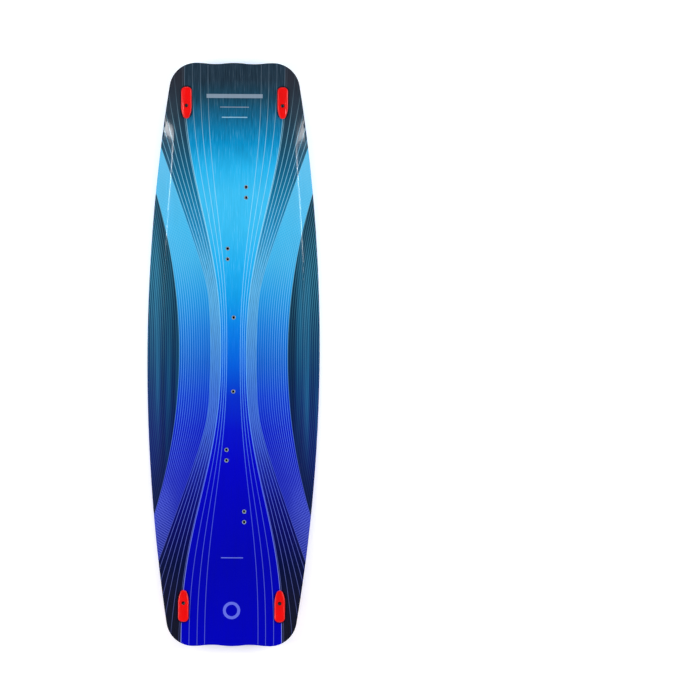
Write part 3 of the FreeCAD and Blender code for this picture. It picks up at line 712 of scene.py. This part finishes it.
def fin_glass():
    """Translucent orange glass composite: faint cloth seen through the resin, and a painted glow of light
    that makes the thin tip paler.
    """
    paint = Paint(
        "fin_composite", roughness=0.28, transmission_weight=0.35, ior=1.52, coat_weight=0.35,
        coat_roughness=0.08,
    )
    fibre = paint.noise((260, 24, 260), detail=3)
    warp = (paint.y * (TAU / FIN_WEAVE)).math("SINE")
    weft = (paint.z * (TAU / FIN_WEAVE)).math("SINE")
    cloth = warp * weft * 0.5 + 0.5
    # the z term is painted light: it makes the blade paler towards its thin tip
    tone = fibre * 0.2 + cloth * 0.05 + paint.z.fall(0.0, 0.02) * 0.2 + 0.28
    paint.colour(paint.ramp(tone, [(0.2, "f0520a"), (0.5, "ff7418"), (0.9, "ffa45e")]))
    paint.rough(fibre * 0.1 + 0.25)
    paint.bump(cloth, 0.00001, 0.2)
    return paint.material


def metal(name, dark, light, roughness, shaded_bores=()):
    """Turned metal: fine rings, a faint stain, and painted shade darkening any threaded bores."""
    paint = Paint(name, roughness=roughness, metallic=1.0)
    rings = paint.noise((200, 200, 9000), detail=2)
    stain = paint.noise((300, 300, 300), detail=3)
    colour = paint.ramp(stain * 0.5 + rings * 0.5, [(0.3, dark), (0.7, light)])
    # painted shade: each bore is darkened to near black, standing for the shadow down the hole
    for x, y in shaded_bores:
        off_x, off_y = paint.x - x, paint.y - y
        reach = (off_x * off_x + off_y * off_y).math("SQRT") * MILLIMETRES
        colour = paint.mix(colour, "08090a", reach.fall(2.6, 3.3) * 0.97)
    paint.colour(colour)
    paint.rough(rings * 0.2 + (roughness - 0.1))
    paint.bump(rings, 0.00002, 0.3)
    return paint.material


DECK_PRINT = deck_print()
BASE_PRINT = base_print()
LAMINATE_GLASS = laminate_glass()
CORE_WOOD = wood()
RAIL_PLASTIC = moulded("rail_plastic", "10131f", "1a1f30", 0.42, coat_weight=0.15)
BOX_PLASTIC = moulded("fin_box_plastic", "101114", "1d1f24", 0.5)
CAP_PLASTIC = moulded(
    "cap_plastic", "dc0000", "f80000", 0.3, scale=900, specular_ior_level=0.3, coat_weight=0.3
)
GASKET_RUBBER = moulded("gasket_rubber", "0b0b0c", "161618", 0.8)
FIN_GLASS = fin_glass()
INSERT_STEEL = metal("insert_steel", "8e9fae", "b2c0cc", 0.44, ALL_SITES)
SCREW_STEEL = metal("screw_steel", "5a5c60", "83868b", 0.2)
BRASS = metal("brass", "a3813c", "cfae62", 0.32)


# ---------------------------------------------------------------- the board's layers


# columns of points across the board: close together at the bevel's crease, even in the middle
EDGE_COLUMNS = [0.005, 0.012, 0.020] + [BEVEL_WIDTH + k * 0.003 for k in range(-4, 5)] + [0.056, 0.064]
MIDDLE_COLUMNS = 22
ROW_STEP = 0.008
# how far the filling points stay from an edge
RIM_GAP = 0.003


def filling(outer, keep_out):
    """Points that fill the board's plan inside an outline and clear of its holes."""
    rows = np.arange(-HALF_LENGTH, HALF_LENGTH, ROW_STEP) + ROW_STEP / 2
    points = []
    for y in rows:
        side = float(side_at(y))
        reach = side - EDGE_COLUMNS[-1]
        points += [(s * (side - c), y) for c in EDGE_COLUMNS[:-1] for s in (-1, 1)]
        points += [(reach * (2 * k / MIDDLE_COLUMNS - 1), y) for k in range(MIDDLE_COLUMNS + 1)]
    points = np.array(points)
    keep = inside(points, outer)
    for loop in keep_out:
        keep &= ~inside(points, loop)
    return points[keep]


insert_holes = [circle(x, y, INSERT_RADIUS) for x, y in ALL_SITES]
insert_rims = [circle(x, y, INSERT_RADIUS + RIM_GAP) for x, y in ALL_SITES]
box_holes = [slot(x, y, BOX_SLOT) for x, y in FIN_SITES]
box_rims = [slot(x, y, BOX_SLOT, RIM_GAP) for x, y in FIN_SITES]
plan_edge = outline(DECK_EDGE_ROUND)
within = outline(DECK_EDGE_ROUND + RIM_GAP)
deck_holes = insert_holes + box_holes
deck_plan = Plan(plan_edge, deck_holes, filling(within, insert_rims + box_rims))
base_plan = Plan(plan_edge, box_holes, filling(within, box_rims))


def edge_ring(inset, height):
    loop = outline(inset)
    return np.column_stack([loop, height(loop[:, 0], loop[:, 1])])


def level(surface, offset):
    return lambda x, y: surface(x, y, offset)


def rounded_inset(radius, depth):
    """How far inside the outline a rounded edge lies at a depth below the face."""
    return radius - math.sqrt(radius**2 - (radius - min(depth, radius)) ** 2)


def layer(plan, face, depth_a, depth_b, radius):
    """A layer between two depths below the deck or above the base, with the board's rounded edge."""
    steps = 5
    depths = [depth_a + (depth_b - depth_a) * k / steps for k in range(steps + 1)]
    rings = [edge_ring(rounded_inset(radius, d), level(face, d)) for d in depths]
    upper, lower = level(face, depth_a), level(face, depth_b)
    if face is base_height:
        upper, lower = lower, upper
        rings = rings[::-1]
    walls = [rings] + [[] for _ in plan.loops[1:]]
    return shell(plan, upper, lower, walls)


def rail(first, last):
    """A strip of rail from one outline point to another, with its edges eased."""
    ease = 0.0004
    tall = [(RAIL_WIDTH, 0), (ease, 0), (0, 0.1), (0, 0.5), (0, 0.9), (ease, 1), (RAIL_WIDTH, 1)]
    count = len(outline(0))
    rings = []
    for inset, share in tall:
        loop = outline(inset)
        x, y = loop[:, 0], loop[:, 1]
        z = deck_height(x, y, SKIN) * (1 - share) + base_height(x, y, SKIN) * share
        rings.append(np.column_stack([loop, z]))
    numbers = [k % count for k in range(first, last + 1)]
    vertices = [tuple(ring[k]) for k in numbers for ring in rings]
    size = len(rings)
    faces = []
    for k in range(len(numbers) - 1):
        for r in range(size):
            n = (r + 1) % size
            a, b = k * size, (k + 1) * size
            faces.append((a + r, a + n, b + n, b + r))
    faces.append(tuple(range(size))[::-1])
    faces.append(tuple(len(vertices) - size + r for r in range(size)))
    return vertices, faces


piece(
    "deck_film", layer(deck_plan, deck_height, 0, SHEET, DECK_EDGE_ROUND),
    DECK_PRINT, "topsheet", "topsheet",
)
piece(
    "deck_glass", layer(deck_plan, deck_height, SHEET, SKIN, DECK_EDGE_ROUND),
    LAMINATE_GLASS, "glass_laminate", "top_laminate",
)
piece(
    "base_glass", layer(base_plan, base_height, SHEET, SKIN, BASE_EDGE_ROUND),
    LAMINATE_GLASS, "glass_laminate", "bottom_laminate",
)
piece(
    "base_film", layer(base_plan, base_height, 0, SHEET, BASE_EDGE_ROUND),
    BASE_PRINT, "base_sheet", "base_sheet",
)

# rail strips meet where the sides end; the outline starts at the middle of the +X side
round_trip = len(plan_edge)
quarter_turn = round_trip // 4
joint = next(k for k in range(quarter_turn) if plan_edge[k][1] > HALF_LENGTH - CORNER_ARC)
strips = {
    "nose_rail": (joint, 2 * quarter_turn - joint),
    "left_rail": (2 * quarter_turn - joint, 2 * quarter_turn + joint),
    "tail_rail": (2 * quarter_turn + joint, round_trip - joint),
    "right_rail": (round_trip - joint, round_trip + joint),
}
for node, (first, last) in strips.items():
    piece(f"{node}_strip", rail(first, last), RAIL_PLASTIC, "rail_plastic", node)


# ---------------------------------------------------------------- inserts


def insert_mesh(x, y):
    """A flanged barrel with a chamfered, threaded blind bore, sheared so that its face follows the deck."""
    edge = 0.00015
    shoulder = FLANGE_THICKNESS - INSERT_DEPTH
    profile = [(0, -INSERT_DEPTH), (FLANGE_RADIUS - edge, -INSERT_DEPTH)]
    profile += [(FLANGE_RADIUS, edge - INSERT_DEPTH), (FLANGE_RADIUS, shoulder), (INSERT_RADIUS, shoulder)]
    profile += [(INSERT_RADIUS, -edge), (INSERT_RADIUS - edge, 0)]
    profile += [(INSERT_BORE + 0.0007, 0), (INSERT_BORE + 0.0005, -0.0001), (INSERT_BORE, -0.0007)]
    root = INSERT_BORE - 0.0003
    threads = thread(INSERT_BORE, root, -INSERT_BORE_DEPTH + 0.0003, -0.0008, THREAD_PITCH)
    profile += threads[::-1] + [(root, -INSERT_BORE_DEPTH), (0, -INSERT_BORE_DEPTH - 0.0005)]
    vertices, faces = turned(profile)
    return [(x + a, y + b, float(deck_height(x + a, y + b)) + c) for a, b, c in vertices], faces


for pair, sites in INSERT_SITES.items():
    both = joined(*[insert_mesh(x, y) for x, y in sites])
    piece(f"{pair}_turned", both, INSERT_STEEL, "stainless", pair)


# ---------------------------------------------------------------- fins


def fin_mesh(side, end):
    """A foil-shaped blade from its flat tip on the floor up to the base, and its tang up the box."""
    middle_x, middle_y = side * FIN_ACROSS, end * FIN_ALONG
    count, tip_round = 72, 0.0007
    angles = np.arange(count) * TAU / count
    root = float(base_height(0, middle_y))
    heights = [0.0, 0.0001, 0.0003, tip_round] + list(np.linspace(0.002, root, 22))
    vertices, rings = [], []
    for height in heights:
        share = height / root / FIN_TAPER
        length, thick = (
            tip + (full - tip) * (1 - (1 - share) ** swell)
            for tip, full, swell in zip(FIN_TIP, FIN_ROOT, FIN_SWELL)
        )
        edge = tip_round - math.sqrt(tip_round**2 - max(tip_round - height, 0) ** 2)
        y = middle_y + np.sin(angles) * (length / 2 - edge)
        x = middle_x + np.sign(np.cos(angles)) * np.abs(np.cos(angles)) ** 1.5 * (thick / 2 - edge)
        z = base_height(x, y) * (height / root)
        rings.append(list(range(len(vertices), len(vertices) + count)))
        vertices += list(zip(x, y, z))
    faces = wall(rings[::-1])
    faces.append(tuple(rings[0])[::-1])
    faces.append(tuple(rings[-1]))
    tang = slot(middle_x, middle_y, TANG)
    x, y = tang[:, 0], tang[:, 1]
    tang_vertices = list(zip(x, y, deck_height(x, y, SHEET))) + list(zip(x, y, base_height(x, y)))
    number = len(tang)
    tang_faces = wall([range(number), range(number, 2 * number)])
    tang_faces += [tuple(range(number)), tuple(range(number, 2 * number))[::-1]]
    return joined((vertices, faces), (tang_vertices, tang_faces))


# ---------------------------------------------------------------- caps and screws


def on_deck(side, end):
    """Where a cap sits: on the deck, tilted with it, its second axis towards the tip."""
    tilt = math.asin(CAP_ALONG / DECK_ARC)
    turn = Matrix.Rotation(0 if end > 0 else math.pi, 4, "Z") @ Matrix.Rotation(tilt, 4, "X")
    place = (side * FIN_ACROSS, end * CAP_ALONG, centre_height(CAP_ALONG))
    return Matrix.Translation(place) @ turn


def cap_mesh():
    """A crowned cap with a rounded edge and a stepped hole for the screw."""
    lip = 0.0004
    outer = cap_outline(CAP_EDGE_ROUND)
    hole = circle(0, -SCREW_OFFSET, SCREW_BORE + lip, 48)
    grid = [(x * 0.0022, y * 0.0025) for x in range(-5, 6) for y in range(-15, 16)]
    grid = np.array(grid) + 0.00013
    keep = inside(grid, cap_outline(CAP_EDGE_ROUND + 0.0012))
    keep &= ~inside(grid, circle(0, -SCREW_OFFSET, SCREW_BORE + lip + 0.0012))
    plan = Plan(outer, [hole], grid[keep])

    def top(x, y):
        return GASKET + CAP_HEIGHT - CAP_CROWN * np.square(x / CAP_HALF_WIDTH)

    def bottom(x, y):
        return np.full(len(x), GASKET)

    rim = top(outer[:, 0], outer[:, 1])
    rings = []
    for k in range(1, 9):
        angle = k / 8 * math.pi / 2
        loop = cap_outline(CAP_EDGE_ROUND * (1 - math.sin(angle)))
        rings.append(np.column_stack([loop, rim - CAP_EDGE_ROUND * (1 - math.cos(angle))]))
    foot = cap_outline(0)
    for height in (GASKET + 0.0006, GASKET + 0.0002):
        rings.append(np.column_stack([foot, np.full(len(foot), height)]))
    rings.append(np.column_stack([cap_outline(0.0002), np.full(len(foot), GASKET)]))
    face = GASKET + CAP_HEIGHT
    seat = face - SCREW_SINK - SCREW_HEAD_HEIGHT
    hole_rings = []
    for radius, height in (
        (SCREW_BORE + lip * 0.4, face - lip * 0.25), (SCREW_BORE, face - lip), (SCREW_BORE, seat),
        (SCREW_HOLE, seat), (SCREW_HOLE, GASKET),
    ):
        loop = circle(0, -SCREW_OFFSET, radius, 48)
        hole_rings.append(np.column_stack([loop, np.full(len(loop), height)]))
    return shell(plan, top, bottom, [rings, hole_rings])


def hexagon(angles):
    return HEX_FLAT / np.cos(np.mod(angles, TAU / 6) - TAU / 12)


def screw_mesh():
    """A screw with a low round head, a hexagon socket and a threaded shank."""
    top = GASKET + CAP_HEIGHT - SCREW_SINK
    edge = 0.0003
    neck = top - SCREW_HEAD_HEIGHT
    profile = [(0, -SCREW_REACH), (SCREW_RADIUS - 0.0006, -SCREW_REACH)]
    root = SCREW_RADIUS - 0.0004
    profile += thread(SCREW_RADIUS, root, 0.0006 - SCREW_REACH, neck - 0.0012, THREAD_PITCH)
    profile += [(SCREW_RADIUS, neck - 0.0004), (SCREW_RADIUS, neck), (SCREW_HEAD, neck)]
    profile += [(SCREW_HEAD, top - edge), (SCREW_HEAD - edge, top), (HEX_FLAT * 1.28, top)]
    profile += [(lambda a: hexagon(a) * 1.04, top - 0.0001), (hexagon, top - 0.0003)]
    profile += [(hexagon, top - HEX_DEPTH)]
    profile += [(0, top - HEX_DEPTH - 0.0004)]
    vertices, faces = turned(profile)
    return [(x, y - SCREW_OFFSET, z) for x, y, z in vertices], faces


cap_shape, screw_shape = cap_mesh(), screw_mesh()
for corner, (side, end) in CORNERS.items():
    place = on_deck(side, end)
    piece(f"{corner}_fin_blade", fin_mesh(side, end), FIN_GLASS, "fin_composite", f"{corner}_fin", sharp=50)
    piece(f"{corner}_cap_moulding", placed(cap_shape, place), CAP_PLASTIC, "cap_plastic", f"{corner}_fin_cap")
    piece(f"{corner}_hex_screw", placed(screw_shape, place), SCREW_STEEL, "stainless", f"{corner}_fin_screw")

# CAD nodes that stay, with better materials
KEPT = {"wood_core": CORE_WOOD}
for corner in CORNERS:
    KEPT[f"{corner}_fin_box"] = BOX_PLASTIC
    KEPT[f"{corner}_fin_nut"] = BRASS
    KEPT[f"{corner}_fin_gasket"] = GASKET_RUBBER
for node, material in KEPT.items():
    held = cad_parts[node].data.materials
    held.clear()
    held.append(material)


# ---------------------------------------------------------------- floor, light and camera

FLOOR_REACH = 9.0
FLOOR_GLOW = 0.32
floor_mesh = bpy.data.meshes.new("floor")
corners = [(-FLOOR_REACH, -FLOOR_REACH, 0), (FLOOR_REACH, -FLOOR_REACH, 0)]
corners += [(FLOOR_REACH, FLOOR_REACH, 0), (-FLOOR_REACH, FLOOR_REACH, 0)]
floor_mesh.from_pydata(corners, [], [(0, 1, 2, 3)])
floor = bpy.data.objects.new("floor", floor_mesh)
bpy.context.scene.collection.objects.link(floor)
floor_paint = Paint("floor_paint", roughness=0.9)
floor_paint.shader.inputs["Specular IOR Level"].default_value = 0.1
floor_paint.shader.inputs["Emission Color"].default_value = rgb("ffffff")
floor_paint.shader.inputs["Emission Strength"].default_value = FLOOR_GLOW
haze = floor_paint.noise((0.8, 0.8, 0.8), detail=1)
floor_paint.colour(floor_paint.ramp(haze, [(0.3, "fbfbfb"), (0.7, "ffffff")]))
floor_mesh.materials.append(floor_paint.material)


# brightness of the surround: at the horizon, at mid height, and everywhere
HORIZON_LIGHT = 0.55
UPPER_LIGHT = 0.42
FAINT_LIGHT = 0.02

# four broad lamps, and two small ones that the deck's creases mirror: (place, size, watts)
LAMPS = {
    "left_softbox": ((-2.4, -0.2, 2.4), (1.4, 2.4), 50),
    "right_softbox": ((2.4, 0.4, 2.4), (1.4, 2.4), 50),
    "nose_softbox": ((0.0, 3.2, 2.6), (2.4, 1.2), 36),
    "tail_softbox": ((0.0, -3.2, 2.6), (2.4, 1.2), 36),
    "left_strip": ((-0.68, 0.185, 3.0), (0.12, 0.04), 0.55),
    "right_strip": ((0.49, 0.17, 3.0), (0.13, 0.06), 0.62),
}


def world_light():
    """A surround that is pale at the horizon and at mid height, and dark low down and overhead, so that the
    glossy deck keeps its colour from above and from the sides."""
    world = bpy.data.worlds.new("surround")
    bpy.context.scene.world = world
    world.use_nodes = True
    tree = world.node_tree
    backdrop = tree.nodes["Background"]
    split = tree.nodes.new("ShaderNodeSeparateXYZ")
    tree.links.new(tree.nodes.new("ShaderNodeTexCoord").outputs["Generated"], split.inputs[0])
    height = Signal(tree, split.outputs[2])
    horizon = height.fall(0.04, 0.16) * HORIZON_LIGHT
    upper = height.rise(0.42, 0.62) * height.fall(0.80, 0.95) * UPPER_LIGHT
    strength = horizon + upper + FAINT_LIGHT
    backdrop.inputs["Color"].default_value = (0.97, 0.985, 1.0, 1.0)
    tree.links.new(strength.socket, backdrop.inputs["Strength"])


def softbox(name, place, size, watts):
    """A rectangular lamp that faces the board."""
    lamp = bpy.data.lights.new(name, "AREA")
    lamp.shape = "RECTANGLE"
    lamp.size, lamp.size_y = size
    lamp.energy = watts
    made = bpy.data.objects.new(name, lamp)
    made.location = place
    made.rotation_euler = (-Vector(place)).to_track_quat("-Z", "Y").to_euler()
    made.visible_camera = False
    bpy.context.scene.collection.objects.link(made)


world_light()
for name, (place, size, watts) in LAMPS.items():
    softbox(name, place, size, watts)

LENS = 180
SENSOR = 36
VIEW_WIDTH = 1.6633
VIEW_CENTRE = (0.2768, 0.0124)
VIEW_ROLL = 0.0060
camera_data = bpy.data.cameras.new("camera")
camera_data.lens = LENS
camera_data.sensor_width = SENSOR
camera = bpy.data.objects.new("camera", camera_data)
bpy.context.scene.collection.objects.link(camera)
camera.location = (*VIEW_CENTRE, centre_height(0) + VIEW_WIDTH * LENS / SENSOR)
camera.rotation_euler = (0, 0, VIEW_ROLL)
bpy.context.scene.camera = camera
bpy.context.scene.view_settings.view_transform = "Standard"
